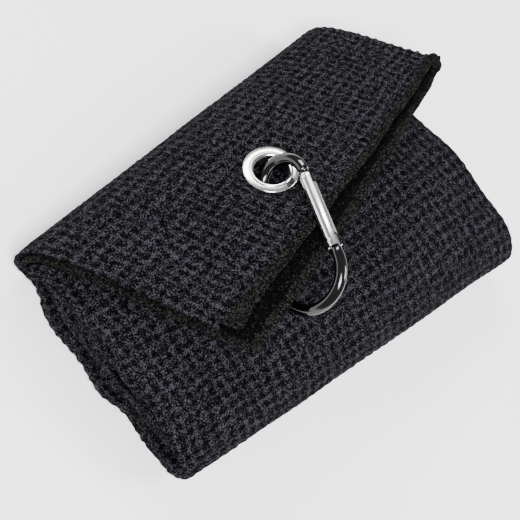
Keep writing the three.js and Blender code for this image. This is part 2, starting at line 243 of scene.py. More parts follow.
def roll_point(share, angle, depth):
    """A point of the roll: share of its length, angle up from the back fold, depth inside."""
    cos, sin = np.cos(angle), np.sin(angle)
    side = power(cos, SIDE_POWER)
    crest = crest_at(share)
    fold = FOLD_HEIGHT * crest
    upper = fold + (crest - fold - depth) * np.maximum(sin, 0) ** TOP_POWER
    base = np.minimum(1, BASE_FLAT * np.abs(np.minimum(sin, 0)) ** BASE_POWER)
    lower = fold - (fold - depth) * base
    x = ROLL_LEFT + ROLL_LENGTH * share + (1 - side) / 2 * mix(END_LEAN, share)
    y = mix(MIDDLE_Y, share) + (mix(HALF_DEPTH, share) - depth) * side
    return np.stack([x, y, np.where(sin >= 0, upper, lower)], -1)


def turn_depth(turn):
    """Depth of a turn inside the roll. It goes inwards as it comes up the front, so the base is flat."""
    whole = np.floor(turn)
    return TURN_PITCH * (whole + np.maximum(0, 2 * (turn - whole) - 1))


def ripple(a, b, seed, scale):
    """Smooth irregularity, about -1 to 1: a few waves of different headings and pitches."""
    r = np.random.default_rng(seed)
    total = 0
    for _ in range(RIPPLE_WAVES):
        heading = r.uniform(0, 2 * math.pi)
        pitch = scale * r.uniform(*RIPPLE_PITCHES)
        phase = r.uniform(0, 2 * math.pi)
        total = total + np.sin(
            2 * math.pi * (a * math.cos(heading) + b * math.sin(heading)) / pitch + phase
        )
    return total / RIPPLE_LEVEL


def uneven(start, a, b, terms):
    """A start value with irregularity added to it."""
    value = start
    for reach, seed, pitch in terms:
        value = value + reach * ripple(a, b, seed, pitch)
    return value


def waffle(a, b):
    """Height of the weave at a, b millimetres across and along the cloth: 1 on a ridge, 0 in a pit."""
    a = uneven(a, a, b, STRAY_ACROSS)
    b = uneven(b, a, b, STRAY_ALONG)
    across = np.abs(np.cos(math.pi * a / CELL_ACROSS)) ** RIDGE_SHARPNESS
    along = np.abs(np.cos(math.pi * b / CELL_ALONG)) ** RIDGE_SHARPNESS
    ridge = np.maximum(across, along) * RIDGE_FLAT + RIDGE_CROSSING * across * along
    pit = (1 - across) * (1 - along)
    return np.clip(ridge * (1 - PIT_DIP * pit) + uneven(0, a, b, UNEVEN), 0, WEAVE_TOP)


# Meshes


def new_object(name, points, faces, values=None):
    """Points in millimetres, in the rolled cloth's frame."""
    mesh = bpy.data.meshes.new(name)
    points = (np.asarray(points, dtype=np.float64) + ORIGIN) * MM
    faces = np.asarray(faces, dtype=np.int32)
    mesh.vertices.add(len(points))
    mesh.vertices.foreach_set("co", points.astype(np.float32).ravel())
    mesh.loops.add(faces.size)
    mesh.loops.foreach_set("vertex_index", faces.ravel())
    mesh.polygons.add(len(faces))
    sides = faces.shape[1]
    mesh.polygons.foreach_set("loop_start", np.arange(len(faces), dtype=np.int32) * sides)
    mesh.update(calc_edges=True)
    mesh.validate()
    mesh.polygons.foreach_set("use_smooth", np.full(len(mesh.polygons), True))
    if values is not None:
        layer = mesh.attributes.new("weave", "FLOAT", "POINT")
        layer.data.foreach_set("value", np.asarray(values, dtype=np.float32).ravel())
    obj = bpy.data.objects.new(name, mesh)
    bpy.context.scene.collection.objects.link(obj)
    return obj


def outward(obj):
    b = bmesh.new()
    b.from_mesh(obj.data)
    bmesh.ops.recalc_face_normals(b, faces=b.faces)
    b.to_mesh(obj.data)
    b.free()


def band_faces(rows, around):
    """Faces of a closed band: rows of points, each row a closed loop, and a cap over each end."""
    r, c = np.meshgrid(np.arange(rows - 1), np.arange(around), indexing="ij")
    n = (c + 1) % around
    faces = np.stack([r * around + c, r * around + n, (r + 1) * around + n, (r + 1) * around + c], -1)
    faces = faces.reshape(-1, 4)
    half = around // 2
    i = np.arange(half - 1)
    caps = []
    for start in (0, (rows - 1) * around):
        caps.append(np.stack([i, i + 1, around - 2 - i, around - 1 - i], -1) + start)
    caps[0] = caps[0][:, ::-1]
    return np.concatenate([faces, *caps])


def bored_band(rows, stations, bored):
    """A band's faces with a hole through it where its points are bored, walls included."""
    around = 2 * stations
    faces = band_faces(rows, around)
    column = faces[:, 0:4] % around
    cell_row = faces.min(1) // around
    out = column.max(1) < stations
    cell = np.where(out, column.min(1), around - 1 - column.max(1))
    side = (column.max(1) < stations) | (column.min(1) >= stations)
    gone = bored[:-1, :-1] & bored[1:, :-1] & bored[:-1, 1:] & bored[1:, 1:]
    body = side & (faces.max(1) // around == cell_row + 1)
    inside = np.clip(cell, 0, stations - 2)
    keep = ~(body & gone[np.clip(cell_row, 0, rows - 2), inside])
    walls = []
    for r, c in np.argwhere(gone):
        for here, other in (
            (((r, c), (r + 1, c)), (r, c - 1)), (((r, c + 1), (r + 1, c + 1)), (r, c + 1)),
            (((r, c), (r, c + 1)), (r - 1, c)), (((r + 1, c), (r + 1, c + 1)), (r + 1, c)),
        ):
            if not gone[other]:
                (r0, c0), (r1, c1) = here
                walls.append((
                    r0 * around + c0, r1 * around + c1,
                    r1 * around + around - 1 - c1, r0 * around + around - 1 - c0,
                ))
    return np.concatenate([faces[keep], np.array(walls)])


def steps(start, stop, step):
    count = max(2, int(round(abs(stop - start) / step)) + 1)
    return np.linspace(start, stop, count)


def strip_section(width, middle_end, bottom_start, bottom_seen):
    """The folded strip as stations along its cloth: the bottom layer from its free edge, the right
    fold, the top layer, the left fold, the middle layer. Each has a point on the cloth's outer face,
    one on its inner face, and its distance along the cloth. The bottom layer is fine as far as it's seen."""
    stations = []
    distance = 0.0

    def straight(from_x, to_x, outer, inner, fine_from, fine_to):
        nonlocal distance
        low_x, high_x = sorted((from_x, to_x))
        xs = np.concatenate([
            steps(low_x, max(low_x, fine_from), COARSE)[:-1] if fine_from > low_x else [],
            steps(max(low_x, fine_from), min(high_x, fine_to), FINE),
            steps(min(high_x, fine_to), high_x, COARSE)[1:] if fine_to < high_x else [],
        ])
        if from_x > to_x:
            xs = xs[::-1]
        last = from_x
        for x in xs:
            distance += abs(x - last)
            last = x
            stations.append((x, outer, x, inner, distance))

    def fold(x, outer, inner, side):
        nonlocal distance
        middle = (outer[0] + outer[1]) / 2
        big, small = (outer[0] - outer[1]) / 2, (inner[0] - inner[1]) / 2
        for i in range(1, FOLD_STEPS):
            angle = math.pi * i / FOLD_STEPS
            out, down = side * math.sin(angle), math.cos(angle)
            distance += math.pi * abs(big) / FOLD_STEPS
            stations.append((
                x + out * abs(big), middle + down * big,
                x + out * abs(small), middle + down * small, distance,
            ))

    second, third = LAYER_PITCH, 2 * LAYER_PITCH
    straight(bottom_start, width, third + CLOTH, third, bottom_start, bottom_start + bottom_seen)
    fold(width, (third + CLOTH, 0), (third, CLOTH), 1)
    straight(width, 0, 0, CLOTH, 0, width)
    fold(0, (0, second + CLOTH), (CLOTH, second), -1)
    straight(0, middle_end, second + CLOTH, second, 0, MIDDLE_FINE)
    return np.array(stations)


def section_normals(section):
    """Directions out of the cloth's outer face in the section's own plane, as x and depth."""
    out = section[:, 0:2] - section[:, 2:4]
    return out / np.linalg.norm(out, axis=1, keepdims=True)


def loop_of(section, height):
    """Outer points with the weave's height added, then inner points the other way round."""
    normals = section_normals(section)
    outer = section[:, 0:2] + normals * height[:, None]
    return np.concatenate([outer, section[::-1, 2:4]])


# The roll

roll_section = strip_section(
    ROLL_LENGTH, ROLL_LENGTH - MIDDLE_SHORT, BOTTOM_IN - INTO_EDGING, BOTTOM_SEEN
)


def spiral_turns():
    """Turn values that are evenly spaced along the cloth: finely round the outside, coarsely within."""
    turn = np.linspace(0, TURNS, SPIRAL_SAMPLES)
    path = roll_point(0.5 + 0 * turn, -2 * math.pi * turn, turn_depth(turn))
    run = np.concatenate([[0], np.cumsum(np.linalg.norm(np.diff(path, axis=0), axis=1))])
    outside = np.interp(OUTER_TURN, turn, run)
    distances = np.concatenate([steps(0, outside, FINE), steps(outside, run[-1], INNER_STEP)[1:]])
    return np.interp(distances, run, turn), distances


def make_roll():
    turns, runs = spiral_turns()
    count = len(roll_section)
    a = roll_section[:, 4]
    near_left = np.exp(-np.clip(roll_section[:, 0], 0, None) / END_REACH)
    near_right = np.exp(-np.clip(ROLL_LENGTH - roll_section[:, 0], 0, None) / END_REACH)
    rows, values = [], []
    for turn, run in zip(turns, runs):
        weave = waffle(a, -run + 0 * a)
        height = PIT_DEPTH * (weave - RIDGE_LEVEL)
        loop = loop_of(roll_section, height)
        left = np.concatenate([near_left, near_left[::-1]])
        right = np.concatenate([near_right, near_right[::-1]])
        whole = math.floor(turn)
        stray = ripple(run + 0 * left, STRAY_TURN * whole + 0 * left, STRAY_SEED, STRAY_PITCH)
        flutter = ripple(run + 0 * left, loop[:, 1] * FLUTTER_LAYER, FLUTTER_SEED, FLUTTER_PITCH)
        tuck = TUCK * whole
        x = loop[:, 0] + left * (LEFT_STRAY * stray + FLUTTER * flutter + tuck)
        x = x - right * (RIGHT_STRAY * stray + tuck)
        depth = turn_depth(turn) + loop[:, 1]
        depth = depth + DENT * ripple(x, run + 0 * x, DENT_SEED, DENT_PITCH) + DENT
        rows.append(roll_point(x / ROLL_LENGTH, -2 * math.pi * turn + 0 * x, depth))
        values.append(np.concatenate([weave, weave[::-1] * 0 + INNER_FACE]))
    points = np.concatenate(rows)
    points[:, 2] = np.maximum(points[:, 2], LOWEST)
    obj = new_object(
        "rolled_cloth", points, band_faces(len(rows), 2 * count), np.concatenate(values)
    )
    outward(obj)
    return obj


# The flap


def bezier(controls, t):
    t = t[..., None]
    a, b, c, d = controls
    return (1 - t) ** 3 * a + 3 * (1 - t) ** 2 * t * b + 3 * (1 - t) * t**2 * c + t**3 * d


def flap_top(across, along):
    """Points of the flap's top surface, across it from the left and along it from the back fold."""
    across, along = np.broadcast_arrays(np.asarray(across, float), np.asarray(along, float))
    flat_across, flat_along = across.ravel(), along.ravel()
    back = roll_point(mix(FLAP_BACK, flat_across), 0 * flat_across, 0 * flat_across)
    left, right = np.array(FLAP_FRONT_LEFT), np.array(FLAP_FRONT_RIGHT)
    front = left + (right - left) * flat_across[:, None]
    front[:, 2] += FLAP_CROWN * np.sin(math.pi * np.clip(flat_across, 0, 1))
    reach = front - back
    left_share = (1 - flat_across)[:, None]
    lift = back + np.array(BACK_ROUND) + left_share * np.array(BACK_LEFT_ROUND)
    rise = front - FRONT_LEVEL * reach
    rise[:, 2] += FRONT_DIP * reach[:, 2]
    controls = (back, lift, rise, front)
    table = np.linspace(0, 1, BEND_SAMPLES)
    samples = np.stack([bezier(controls, np.full(len(back), t)) for t in table], 1)
    lengths = np.linalg.norm(np.diff(samples, axis=1), axis=2)
    run = np.concatenate([np.zeros((len(back), 1)), np.cumsum(lengths, 1)], 1)
    total = run[:, -1]
    wanted = np.clip(flat_along, 0, 1) * total
    index = np.clip((run <= wanted[:, None]).sum(1) - 1, 0, len(table) - 2)
    line = np.arange(len(back))
    part = (wanted - run[line, index]) / (run[line, index + 1] - run[line, index])
    t = (index + part) / (len(table) - 1)
    point = bezier(controls, t)
    tangent = bezier(controls, np.minimum(t + NUDGE, 1)) - bezier(controls, np.minimum(t, 1 - NUDGE))
    tangent = tangent / np.linalg.norm(tangent, axis=1, keepdims=True)
    past = np.maximum(0, flat_along - 1) * total
    return (point + tangent * past[:, None]).reshape(*across.shape, 3)


def flap_normal(across, along):
    sideways = flap_top(across + NORMAL_STEP, along) - flap_top(across - NORMAL_STEP, along)
    onwards = flap_top(across, along + NORMAL_STEP) - flap_top(across, along - NORMAL_STEP)
    normal = np.cross(onwards, sideways)
    return normal / np.linalg.norm(normal, axis=-1, keepdims=True)


def flap_point(x, along, depth):
    across = x / FLAP_WIDTH
    return flap_top(across, along) - flap_normal(across, along) * depth[..., None]


def grown(value, start_and_span):
    """0 up to a start, then growing to 1 over a span."""
    start, span = start_and_span
    return np.clip((value - start) / span, 0, 1)


def slack_at(x, along):
    """How far the right fold has opened at a place on the flap."""
    across = grown(x / FLAP_WIDTH, SLACK_ACROSS)
    return FOLD_SLACK * across * across * grown(along, SLACK_ALONG) ** SLACK_POWER


def puffed(x, along, depth):
    """The right fold is slack: towards the flap's end the lower layers hang away from the top one."""
    return depth * (1 + slack_at(x, along) * np.clip(depth / STRIP, 0, 1))


def rounded(x, along):
    """The slack fold stands out further to the right too."""
    return x + np.maximum(0, x - FLAP_WIDTH) * slack_at(x, along) * FOLD_ROUND


def end_share(x, depth):
    """How far along the flap the layer at a depth ends, as a share of the top layer. Round the right
    fold the end runs straight from the top layer's to the bottom one's."""
    across = x / FLAP_WIDTH
    whole = np.floor(depth / LAYER_PITCH + 1e-6)
    between = np.maximum(0, (depth - whole * LAYER_PITCH - CLOTH) / (LAYER_PITCH - CLOTH))
    layer = np.clip(whole + between, 0, 2)
    bottom = mix(BOTTOM_END, across)
    middle = np.where(x > FLAP_WIDTH, bottom / 2, mix(MIDDLE_END, across))
    return 1 + np.where(layer < 1, layer * middle, middle + (bottom - middle) * (layer - 1))


eyelet_top = flap_top(*EYELET_AT)
eyelet_axis = flap_normal(np.array(EYELET_AT[0]), np.array(EYELET_AT[1]))
flange_under = -(STRIP - GRIPPED) / 2


def gripped(points):
    """Distance from the eyelet's axis, and 0 where the eyelet presses the cloth flat to 1 where it's free."""
    away = points - eyelet_top
    radius = np.linalg.norm(away - (away @ eyelet_axis)[..., None] * eyelet_axis, axis=-1)
    t = np.clip((radius - EYELET_OUTER / 2 - GRIP_EASE[0]) / GRIP_EASE[1], 0, 1)
    share = t * t * (3 - 2 * t)
    return radius, share


flap_section = strip_section(
    FLAP_WIDTH, FLAP_WIDTH - MIDDLE_SHORT, BOTTOM_IN - INTO_EDGING, FLAP_WIDTH
)


def make_flap():
    count = len(flap_section)
    a = flap_section[:, 4]
    width_share = np.concatenate([flap_section[:, 0], flap_section[::-1, 2]])
    shares = steps(0, 1, FINE / FLAP_LENGTH)
    rows, values, radii = [], [], []
    squeeze = GRIPPED / STRIP * GRIP_SHARE
    for row in shares:
        base_end = end_share(flap_section[:, 0], flap_section[:, 1]) - EDGING / FLAP_LENGTH
        weave = waffle(a, row * base_end * FLAP_LENGTH)
        flat_end = np.clip((base_end * FLAP_LENGTH * (1 - row)) / END_FLAT, END_RELIEF, 1)
        height = PIT_DEPTH * (weave - RIDGE_LEVEL) * flat_end
        loop = loop_of(flap_section, height)
        clean = np.concatenate([flap_section[:, 0:2], flap_section[::-1, 2:4]])
        end = end_share(clean[:, 0], clean[:, 1]) - EDGING / FLAP_LENGTH
        along = row * end
        rest = flap_point(loop[:, 0], along, 0 * along)
        radius, share = gripped(rest)
        depth = STRIP / 2 + (loop[:, 1] - STRIP / 2) * (squeeze + (1 - squeeze) * share)
        settle = SETTLE * ripple(width_share, along * FLAP_LENGTH, DENT_SEED, DENT_PITCH)
        settle = settle * share * np.clip(row * SETTLE_FROM, 0, 1)
        sideways = rounded(loop[:, 0], along)
        rows.append(flap_point(sideways, along, puffed(loop[:, 0], along, depth) + settle))
        # The flap's inner faces take the painted shade value, so the insides of its folds show dark
        values.append(np.concatenate([weave, weave * 0 + PAINTED_FOLD_SHADE]))
        radii.append(radius)
    bored = np.array(radii)[:, :count] < EYELET_BORE / 2 + EYELET_WALL + BORE_CLEAR
    faces = bored_band(len(rows), count, bored)
    obj = new_object("flap_fabric", np.concatenate(rows), faces, np.concatenate(values))
    outward(obj)
    return obj


# Overlocked edging


def wave(run, reach_and_rate, phase=0):
    """A slow wave along the edging."""
    reach, rate = reach_and_rate
    return reach * math.sin(run * rate + phase)


def make_edging(name, length, centre_of, half_width, half_height):
    """A rope-like band: centre_of(run, u, w) gives the point u across the band and w up from it."""
    runs = steps(0, length, STITCH_STEP)
    angle = 2 * math.pi * np.arange(EDGING_AROUND) / EDGING_AROUND
    rows, values = [], []
    for run in runs:
        lean = STITCH_LEAN * np.cos(angle) + SWAY * ripple(run, 2 * angle, SWAY_SEED, SWAY_PITCH)
        thread = np.abs(np.sin(math.pi * (run + lean + wave(run, STITCH_DRIFT)) / STITCH))
        lump = LUMP * ripple(run, 3 * angle, LUMP_SEED, LUMP_PITCH)
        lump = lump + wave(run, STITCH_SWELL, len(name))
        taller = THREAD_LOW + THREAD_RISE * thread**THREAD_POWER + lump
        wider = HALF_LOW + HALF_RISE * thread + HALF_LUMP * lump
        u = power(np.cos(angle), SECTION_ACROSS) * half_width * wider
        w = power(np.sin(angle), SECTION_UP) * half_height * taller
        rows.append(centre_of(run, u, w))
        # Tone follows the stitch height and lumps: painted shade between stitches, partly random with the
        # lumps
        values.append(THREAD_TONE + STITCH_SHADE_CONTRAST * thread + lump)
    faces = band_faces(len(rows), EDGING_AROUND)
    obj = new_object(name, np.concatenate(rows), faces, np.concatenate(values))
    outward(obj)
    return obj


def end_edging(name, left, right, layer, turn=0.0):
    """Edging on the end of one layer of the flap. It goes on round the right fold by the angle turn."""
    depth = layer * LAYER_PITCH + CLOTH / 2
    straight = right - left
    per_radian = EDGING_SWING * (1 + FOLD_SLACK)

    def centre_of(run, u, w):
        angle = np.clip((run - straight) / per_radian, 0, math.pi)
        out, down = math.sin(angle), math.cos(angle)
        u = np.where(u < 0, u * (1 + TURN_WIDER * out), u)
        w = w * (1 + TURN_THICKER * out)
        x = left + min(run, straight) + out * (EDGING_SWING + w)
        deep = depth + (1 - down) * EDGING_SWING - down * w * (angle > 0)
        end = end_share(x, 0 * x + deep)
        swing = wave(run, END_WAVES[0], 2 * layer) + wave(run, END_WAVES[1])
        along = end - (HEM_WIDTH / 2 - swing - u) / FLAP_LENGTH
        lifted = w if angle == 0 else 0
        return flap_point(rounded(x, along), along, puffed(x, along, deep + 0 * u) - lifted)

    return make_edging(name, straight + turn * per_radian, centre_of, EDGING_HALF, END_EDGING_THICK)


def side_edging():
    x = np.array([BOTTOM_IN - HEM_GAP - HEM_WIDTH / 2])
    end = float(end_share(x, np.array([2 * LAYER_PITCH]))[0])

    def centre_of(run, u, w):
        along = np.full(len(u), run / FLAP_LENGTH)
        swing = wave(run, SIDE_WAVES[0]) + wave(run, SIDE_WAVES[1])
        across = x[0] - SIDE_EDGING_OUT + u + swing
        return flap_point(across, along, 2 * LAYER_PITCH + CLOTH / 2 - w)

    length = end * FLAP_LENGTH - SIDE_EDGING_SHORT
    return make_edging("side_edging", length, centre_of, EDGING_HALF, SIDE_EDGING_THICK)


def roll_side_edging():
    """The same edging where it goes on round the roll: it shows at the roll's left end."""
    turn = np.linspace(0, TURNS, SPIRAL_SAMPLES)
    path = roll_point(0 * turn, -2 * math.pi * turn, turn_depth(turn) + 2 * LAYER_PITCH)
    total = np.concatenate([[0], np.cumsum(np.linalg.norm(np.diff(path, axis=0), axis=1))])

    def centre_of(run, u, w):
        here = float(np.interp(run, total, turn))
        tuck = TUCK * math.floor(here)
        stray = LEFT_STRAY * ripple(run, float(STRAY_TURN * math.floor(here)), STRAY_SEED, STRAY_PITCH)
        x = BOTTOM_IN + ROLL_EDGING_IN + u + stray + tuck
        depth = turn_depth(here) + 2 * LAYER_PITCH + CLOTH / 2 - w
        return roll_point(x / ROLL_LENGTH, -2 * math.pi * here + 0 * u, depth)

    return make_edging("roll_side_edging", total[-1], centre_of, HEM_WIDTH / 2, ROLL_EDGING_THICK)


# Metal


def frame_of(origin, x_axis, y_axis, z_axis):
    return Matrix((
        (x_axis[0], y_axis[0], z_axis[0], origin[0]),
        (x_axis[1], y_axis[1], z_axis[1], origin[1]),
        (x_axis[2], y_axis[2], z_axis[2], origin[2]),
        (0, 0, 0, 1),
    ))


def lathe(name, profile, sides, place):
    """Turns a closed profile of radius and height about its own axis, then places it."""
    angle = 2 * math.pi * np.arange(sides) / sides
    profile = np.array(profile)
    points = np.stack([
        profile[:, None, 0] * np.cos(angle),
        profile[:, None, 0] * np.sin(angle),
        profile[:, None, 1] + 0 * angle,
    ], -1).reshape(-1, 3)
    r, c = np.meshgrid(np.arange(len(profile)), np.arange(sides), indexing="ij")
    up, on = (r + 1) % len(profile), (c + 1) % sides
    faces = np.stack([r * sides + c, r * sides + on, up * sides + on, up * sides + c], -1)
    rotation = np.array(place.to_3x3())
    points = points @ rotation.T + np.array(place.translation)
    obj = new_object(name, points, faces.reshape(-1, 4))
    outward(obj)
    return obj


def arc(centre, radius, start, stop, count):
    return [
        (centre[0] + radius * math.cos(t), centre[1] + radius * math.sin(t))
        for t in np.linspace(math.radians(start), math.radians(stop), count)
    ]


def make_eyelet():
    axis = Vector(eyelet_axis)
    side = axis.orthogonal().normalized()
    place = frame_of(eyelet_top, side, axis.cross(side), axis)
    bore, outer = EYELET_BORE / 2, EYELET_OUTER / 2
    top = flange_under + FLANGE_HEIGHT
    lip = flange_under - GRIPPED - FLANGE_HEIGHT - FIT
    flange = [(bore, lip + 0.5), (bore + 0.15, lip + 0.12), (bore + 0.4, lip), (bore + EYELET_WALL, lip)]
    flange += [(bore + EYELET_WALL, flange_under + SKIN), (outer - 0.15, flange_under + SKIN)]
    flange += arc((outer - RIM_ROUND, flange_under + 0.45), RIM_ROUND, -55, 70, 7)
    flange += [(outer - 1.6, top - 0.10), (outer - 2.4, top - 0.02), (bore + 1.3, top)]
    flange += arc((bore + FLANGE_ROLL, top - FLANGE_ROLL), FLANGE_ROLL, 90, 180, 9)
    body = lathe("eyelet_ring", flange, EYELET_SIDES, place)
    washer_top = flange_under - GRIPPED
    inner = bore + EYELET_WALL + FIT / 2
    washer = [(inner, washer_top - FLANGE_HEIGHT), (outer - 1, washer_top - FLANGE_HEIGHT)]
    washer += [(outer - 0.3, washer_top - 0.75), (outer, washer_top - 0.45), (outer, washer_top - SKIN)]
    washer += [(inner, washer_top - SKIN)]
    back = lathe("eyelet_back", washer, EYELET_SIDES, place)
    return body, back


along_hook = Vector(HOOK_ALONG).normalized()
across_hook = Vector(HOOK_ACROSS)
across_hook = (across_hook - along_hook * across_hook.dot(along_hook)).normalized()
side_hook = along_hook.cross(across_hook)
hook_origin = (
    Vector(eyelet_top) - Vector(eyelet_axis) * (STRIP / 2)
    - along_hook * HOOK_THROUGH[0] - across_hook * HOOK_THROUGH[1]
)
hook_place = frame_of(hook_origin, along_hook, across_hook, side_hook)
lean = math.asin(2 * (NOSE_BEND - HINGE_BEND) / (HOOK_LENGTH - HINGE_BEND - NOSE_BEND))
gate_start = Vector((
    HINGE_BEND - HINGE_BEND * math.sin(lean),
    HINGE_BEND + HINGE_BEND * math.cos(lean),
))
gate_along = Vector((math.cos(lean), math.sin(lean)))
gate_out = Vector((-math.sin(lean), math.cos(lean)))


def on_gate(along, out=0.0):
    return gate_start + gate_along * along + gate_out * out


def hook_route():
    """The wire's centreline from the gate's hinge, round the small end, along the spine to the nose."""
    nose_middle = HOOK_LENGTH - NOSE_BEND
    route = [tuple(on_gate(RIVET_AT - GATE_DIAMETER / 2 - FIT))]
    route += arc((HINGE_BEND, HINGE_BEND), HINGE_BEND, 90 + math.degrees(lean), 270, HINGE_POINTS)
    spine = np.linspace(HINGE_BEND, nose_middle, SPINE_POINTS)[1:-1]
    route += [(x, 0.0) for x in spine]
    route += arc((nose_middle, NOSE_BEND), NOSE_BEND, -90, 90 + math.degrees(lean), NOSE_POINTS)
    route += [tuple(on_gate(GATE_LENGTH + FIT))]
    return np.array(route)


def make_hook_wire():
    route = hook_route()
    tangent = np.gradient(route, axis=0)
    tangent /= np.linalg.norm(tangent, axis=1, keepdims=True)
    normal = np.stack([-tangent[:, 1], tangent[:, 0]], -1)
    angle = 2 * math.pi * np.arange(WIRE_SIDES) / WIRE_SIDES
    rows = []
    stations = [(0, WIRE_ROUNDING * along, grow) for along, grow in ROUNDED_END]
    stations += [(i, 0.0, 1.0) for i in range(1, len(route) - 1)]
    stations += [(len(route) - 1, -shift, grow) for _, shift, grow in stations[2::-1]]
    for i, shift, grow in stations:
        middle = route[i] + tangent[i] * shift
        ring = middle[None, :] + normal[i][None, :] * (WIRE / 2 * grow * np.cos(angle))[:, None]
        rows.append(np.concatenate([ring, (WIRE / 2 * grow * np.sin(angle))[:, None]], 1))
    points = np.concatenate(rows)
    rotation = np.array(hook_place.to_3x3())
    points = points @ rotation.T + np.array(hook_place.translation)
    obj = new_object("hook_wire", points, band_faces(len(rows), WIRE_SIDES))
    outward(obj)
    return obj


def plate(name, corners, thickness):
    """A plate in the hook's plane, its corners given along the gate line and out from it."""
    flat = [on_gate(along, out) for along, out in corners]
    count = len(flat)
    points = [hook_place @ Vector((p.x, p.y, z)) for z in (-thickness / 2, thickness / 2) for p in flat]
    b = bmesh.new()
    verts = [b.verts.new((np.array(p) + ORIGIN) * MM) for p in points]
    b.faces.new(verts[:count][::-1])
    b.faces.new(verts[count:])
    for i in range(count):
        n = (i + 1) % count
        b.faces.new([verts[i], verts[n], verts[n + count], verts[i + count]])
    bmesh.ops.recalc_face_normals(b, faces=b.faces)
    mesh = bpy.data.meshes.new(name)
    b.to_mesh(mesh)
    b.free()
    obj = bpy.data.objects.new(name, mesh)
    bpy.context.scene.collection.objects.link(obj)
    bevel = obj.modifiers.new("edges", "BEVEL")
    bevel.width = PLATE_EDGE * MM
    bevel.segments = 2
    return obj


def smooth_copy(node, name):
    """A copy of a CAD node with rounded shading and softened edges."""
    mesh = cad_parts[node].data.copy()
    b = bmesh.new()
    b.from_mesh(mesh)
    bmesh.ops.remove_doubles(b, verts=b.verts, dist=1e-6)
    bmesh.ops.dissolve_limit(b, angle_limit=math.radians(0.5), verts=b.verts, edges=b.edges)
    b.to_mesh(mesh)
    b.free()
    for p in mesh.polygons:
        p.use_smooth = True
    mesh.set_sharp_from_angle(angle=math.radians(35))
    mesh.name = name
    obj = bpy.data.objects.new(name, mesh)
    bpy.context.scene.collection.objects.link(obj)
    bevel = obj.modifiers.new("edges", "BEVEL")
    bevel.width = TUBE_EDGE * MM
    bevel.segments = 2
    bevel.limit_method = "ANGLE"
    bevel.angle_limit = math.radians(40)
    return obj


# Materials

YARN_SCALE, TUFT_SCALE, PATCH_SCALE = 2300.0, 950.0, 60.0
FIBRE_CONTRAST = 3.4
# How far the weave's height sets the colour: painted shade in the pits, painted light on the ridges
WEAVE_SHADE_CONTRAST = 0.5
TONE_SHIFT = 0.27
PIT_TONE, MID_TONE = 0.18, 0.55
PATCHINESS = 0.14
FIBRE_BUMP = 0.0003
SMUDGE_SCALE, GRAIN_SCALE = 220.0, 2400.0
SMUDGE_SHINE, SMUDGE_DULL = 0.05, 0.09
SMUDGE_SHADE = 0.86
GRAIN_BUMP = 0.00003


def shader(name):
    material = bpy.data.materials.new(name)
    material.use_nodes = True
    tree = material.node_tree
    return material, tree, tree.nodes["Principled BSDF"]


def add(tree, kind, **inputs):
    n = tree.nodes.new(kind)
    for key, value in inputs.items():
        n.inputs[key].default_value = value
    return n


def colours(tree, stops):
    ramp = tree.nodes.new("ShaderNodeValToRGB")
    ramp.color_ramp.elements[0].position = stops[0][0]
    ramp.color_ramp.elements[0].color = (*stops[0][1], 1)
    ramp.color_ramp.elements[1].position = stops[-1][0]
    ramp.color_ramp.elements[1].color = (*stops[-1][1], 1)
    for place, colour in stops[1:-1]:
        ramp.color_ramp.elements.new(place).color = (*colour, 1)
    return ramp


def scaled(tree, source, factor, added):
    """An output times a number, with a number or another output added."""
    n = tree.nodes.new("ShaderNodeMath")
    n.operation = "MULTIPLY_ADD"
    tree.links.new(source, n.inputs[0])
    n.inputs[1].default_value = factor
    if isinstance(added, float):
        n.inputs[2].default_value = added
    else:
        tree.links.new(added, n.inputs[2])
    return n.outputs[0]


def cloth_material(name, pit, mid, ridge):
    """Terry yarn: pits painted darker than ridges as shade in the weave's hollows, ridges painted lighter as
    lit tops, specks of fibre and fine bump.
    """
    material, tree, bsdf = shader(name)
    link = tree.links.new
    place = tree.nodes.new("ShaderNodeTexCoord")
    weave = tree.nodes.new("ShaderNodeAttribute")
    weave.attribute_name = "weave"
    yarn = add(tree, "ShaderNodeTexNoise", Scale=YARN_SCALE, Detail=2.0, Roughness=0.6)
    tuft = add(tree, "ShaderNodeTexNoise", Scale=TUFT_SCALE, Detail=2.0, Roughness=0.6)
    patch = add(tree, "ShaderNodeTexNoise", Scale=PATCH_SCALE, Detail=2.0)
    for n in (yarn, tuft, patch):
        link(place.outputs["Object"], n.inputs["Vector"])
    fibres = scaled(tree, yarn.outputs["Fac"], FIBRE_CONTRAST, -FIBRE_CONTRAST / 2)
    specks = scaled(tree, tuft.outputs["Fac"], 1.0, fibres)
    # The weave's height paints shade into the pits and lighter tops onto the ridges
    tone = scaled(tree, weave.outputs["Fac"], WEAVE_SHADE_CONTRAST, specks)
    ramp = colours(tree, [(PIT_TONE, pit), (MID_TONE, mid), (1.0, ridge)])
    link(scaled(tree, tone, 1.0, -TONE_SHIFT), ramp.inputs["Fac"])
    fade = add(tree, "ShaderNodeHueSaturation", Saturation=1.0)
    level = tree.nodes.new("ShaderNodeMapRange")
    level.inputs["To Min"].default_value = 1 - PATCHINESS
    level.inputs["To Max"].default_value = 1 + PATCHINESS
    link(patch.outputs["Fac"], level.inputs["Value"])
    link(level.outputs["Result"], fade.inputs["Value"])
    link(ramp.outputs["Color"], fade.inputs["Color"])
    link(fade.outputs["Color"], bsdf.inputs["Base Color"])
    bsdf.inputs["Roughness"].default_value = 0.95
    bsdf.inputs["Specular IOR Level"].default_value = 0.04
    bump = add(tree, "ShaderNodeBump", Strength=0.9, Distance=FIBRE_BUMP)
    link(specks, bump.inputs["Height"])
    link(bump.outputs["Normal"], bsdf.inputs["Normal"])
    return material


